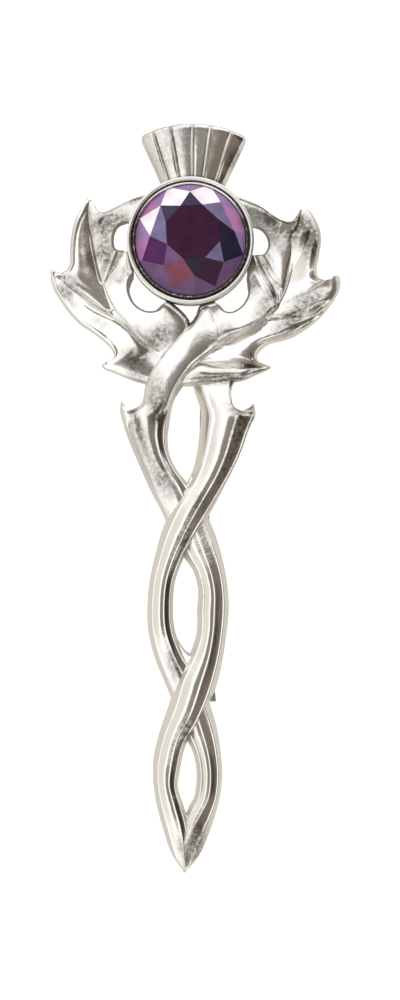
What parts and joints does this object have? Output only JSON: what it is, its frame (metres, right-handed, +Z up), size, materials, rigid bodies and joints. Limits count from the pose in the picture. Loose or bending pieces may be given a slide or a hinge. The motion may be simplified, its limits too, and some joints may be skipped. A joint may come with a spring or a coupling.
{
  "type": "kilt pin",
  "caption": "Thistle brooch with a pleated crown, a faceted round stone, lobed leaves and twisted stems that end in a point, with a pin and catch behind to fasten cloth.",
  "frame": {"origin": "middle of the whole pin's bounding box in plan, on the surface that the pin lies on", "axes": "+Z up out of the front, +Y along the pin towards the crown, +X to the right of the front as it is looked at with the crown up"},
  "size_m": [0.0321, 0.0822, 0.0113],
  "materials": {
    "polished_metal": "polished silver-coloured plating on cast pewter",
    "setting_metal": "polished silver-coloured sheet",
    "stone": "cut and polished purple glass with a foiled back",
    "fitting_metal": "plain plated steel"
  },
  "bodies": {
    "root": {"casting": "polished_metal", "setting": "setting_metal", "stone": "stone", "pin_fitting": "fitting_metal"}
  },
  "joints": []
}
